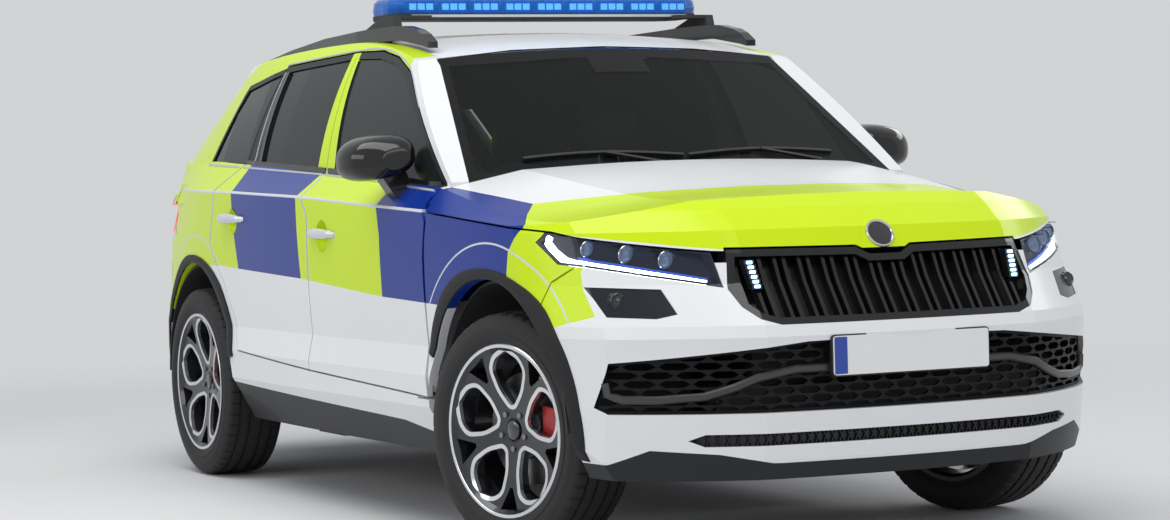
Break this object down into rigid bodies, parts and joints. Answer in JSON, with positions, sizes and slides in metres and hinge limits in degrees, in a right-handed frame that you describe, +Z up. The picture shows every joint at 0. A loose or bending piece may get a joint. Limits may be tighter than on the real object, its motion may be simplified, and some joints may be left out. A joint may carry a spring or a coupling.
{
  "type": "police patrol SUV",
  "caption": "Right-hand-drive police SUV with opening doors, bonnet and tailgate, steered front wheels, rolling wheels and a roof light bar.",
  "frame": {"origin": "on the ground under the middle of the overall length, on the centre line", "axes": "+X forward, +Y to the vehicle's left, +Z up"},
  "size_m": [4.697, 2.0824, 1.7569],
  "materials": {
    "body_paint": "gloss white with retroreflective yellow and blue blocks",
    "glass": "tinted",
    "headlamp": "dark lamp body",
    "lamp_lens": "clear polycarbonate",
    "tail_lamp": "red lens",
    "black_gloss": "gloss black",
    "black_trim": "grained dark grey",
    "light_lens": "blue lens",
    "seat_cloth": "woven black",
    "structure": "black primer",
    "steel": "bare steel",
    "tyre": "matt rubber",
    "alloy": "anthracite with machined faces",
    "upright": "cast"
  },
  "bodies": {
    "body": {"arch_liners": "black_trim", "cowl": "black_trim", "dashboard": "black_trim", "engine": "structure", "exhaust": "steel", "floor_pan": "structure", "fog_lamps": "headlamp", "front_bumper": "body_paint", "front_seats": "seat_cloth", "front_subframe": "structure", "front_wings": "body_paint", "fuel_tank": "structure", "grille": "black_gloss", "headlamp_lenses": "lamp_lens", "headlamps": "headlamp", "intake_grille": "black_gloss", "knuckles_rear": "upright", "light_bar_base": "black_trim", "light_bar_lens": "light_lens", "quarter_glass": "glass", "rear_bumper": "body_paint", "rear_seats": "seat_cloth", "rear_subframe": "structure", "roof": "body_paint", "roof_rails": "black_gloss", "side_frame_left": "body_paint", "side_frame_right": "body_paint", "tail_lamps": "tail_lamp", "windscreen": "glass"},
    "door_front_left": {"door_front_left": "body_paint", "door_front_glass_left": "glass", "mirror_left": "black_gloss"},
    "door_rear_left": {"door_rear_left": "body_paint", "door_rear_glass_left": "glass"},
    "knuckle_front_left": {"knuckle_front_left": "upright"},
    "wheel_front_left": {"wheel_front_left": "alloy", "tyre_front_left": "tyre", "brake_disc_front_left": "steel"},
    "wheel_rear_left": {"wheel_rear_left": "alloy", "tyre_rear_left": "tyre", "brake_disc_rear_left": "steel"},
    "door_front_right": {"door_front_right": "body_paint", "door_front_glass_right": "glass", "mirror_right": "black_gloss"},
    "door_rear_right": {"door_rear_right": "body_paint", "door_rear_glass_right": "glass"},
    "knuckle_front_right": {"knuckle_front_right": "upright"},
    "wheel_front_right": {"wheel_front_right": "alloy", "tyre_front_right": "tyre", "brake_disc_front_right": "steel"},
    "wheel_rear_right": {"wheel_rear_right": "alloy", "tyre_rear_right": "tyre", "brake_disc_rear_right": "steel"},
    "bonnet": {"bonnet": "body_paint"},
    "tailgate": {"tailgate": "body_paint", "tailgate_glass": "glass", "tailgate_lamps": "tail_lamp"},
    "steering_wheel": {"steering_wheel": "black_trim"}
  },
  "joints": [
    {"name": "steer_left", "type": "hinge", "parent": "body", "child": "knuckle_front_left", "pos_m": [1.436, 0.762, 0.358], "axis": [0, 0, 1], "range_deg": [-50, 20]},
    {"name": "spin_front_left", "type": "hinge", "parent": "knuckle_front_left", "child": "wheel_front_left", "pos_m": [1.42875, 0.78905, 0.358], "axis": [-0.2588, 0.9659, 0], "continuous": true},
    {"name": "spin_rear_left", "type": "hinge", "parent": "body", "child": "wheel_rear_left", "pos_m": [-1.355, 0.79, 0.358], "axis": [0, 1, 0], "continuous": true},
    {"name": "door_front_left", "type": "hinge", "parent": "body", "child": "door_front_left", "pos_m": [0.946, 0.922, 0.8], "axis": [0, 0, -1], "range_deg": [0, 68]},
    {"name": "door_rear_left", "type": "hinge", "parent": "body", "child": "door_rear_left", "pos_m": [-0.078, 0.938, 0.8], "axis": [0, 0, -1], "range_deg": [0, 70]},
    {"name": "steer_right", "type": "hinge", "parent": "body", "child": "knuckle_front_right", "pos_m": [1.436, -0.762, 0.358], "axis": [0, 0, 1], "range_deg": [-50, 20]},
    {"name": "spin_front_right", "type": "hinge", "parent": "knuckle_front_right", "child": "wheel_front_right", "pos_m": [1.44325, -0.78905, 0.358], "axis": [-0.2588, 0.9659, 0], "continuous": true},
    {"name": "spin_rear_right", "type": "hinge", "parent": "body", "child": "wheel_rear_right", "pos_m": [-1.355, -0.79, 0.358], "axis": [0, 1, 0], "continuous": true},
    {"name": "door_front_right", "type": "hinge", "parent": "body", "child": "door_front_right", "pos_m": [0.946, -0.922, 0.8], "axis": [0, 0, 1], "range_deg": [0, 68]},
    {"name": "door_rear_right", "type": "hinge", "parent": "body", "child": "door_rear_right", "pos_m": [-0.078, -0.938, 0.8], "axis": [0, 0, 1], "range_deg": [0, 70]},
    {"name": "bonnet_hinge", "type": "hinge", "parent": "body", "child": "bonnet", "pos_m": [1, 0, 1.11], "axis": [0, -1, 0], "range_deg": [0, 50]},
    {"name": "tailgate_hinge", "type": "hinge", "parent": "body", "child": "tailgate", "pos_m": [-1.985, 0, 1.585], "axis": [0, 1, 0], "range_deg": [0, 85]},
    {"name": "steering_wheel", "type": "hinge", "parent": "body", "child": "steering_wheel", "pos_m": [0.42, -0.37, 0.985], "axis": [-0.9063, 0, 0.4226], "range_deg": [-650, 260]}
  ],
  "couplings": [
    {"joint": "steer_right", "follows": "steer_left", "ratio": 1},
    {"joint": "steering_wheel", "follows": "steer_left", "ratio": 13}
  ]
}
